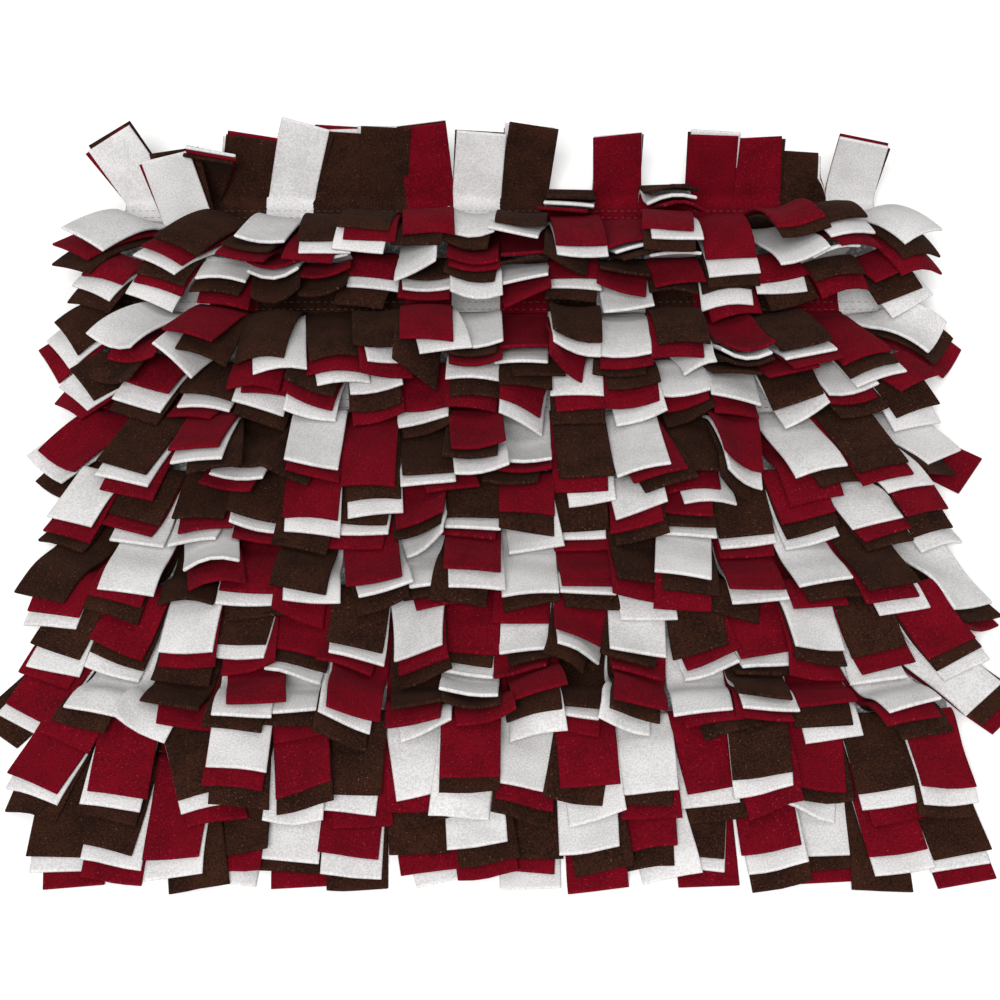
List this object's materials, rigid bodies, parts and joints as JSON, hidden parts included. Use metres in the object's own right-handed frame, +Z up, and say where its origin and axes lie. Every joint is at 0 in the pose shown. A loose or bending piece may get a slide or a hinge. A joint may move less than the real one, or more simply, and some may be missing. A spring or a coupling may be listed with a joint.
{
  "type": "snuffle mat",
  "caption": "Flat pet snuffle mat: rows of white, deep red and dark brown fleece strips, sewn by their middles to a grey cloth and falling forward in overlapping layers.",
  "frame": {"origin": "centre of the base cloth's underside, on the surface that the mat lies on", "axes": "+Z up out of the pile, +X to the right along the sewn rows, -Y towards the front, the way the strips fall"},
  "size_m": [0.5126, 0.5106, 0.0568],
  "materials": {
    "anti_slip_cloth": "grey speckled anti-slip base cloth",
    "white_fleece": "white polar fleece",
    "red_fleece": "deep red polar fleece",
    "brown_fleece": "dark brown polar fleece"
  },
  "bodies": {
    "root": {"base_fabric": "anti_slip_cloth", "strip_row_1": "red_fleece", "strip_row_2": "red_fleece", "strip_row_3": "red_fleece", "strip_row_4": "red_fleece", "strip_row_5": "red_fleece", "strip_row_6": "red_fleece"}
  },
  "joints": []
}
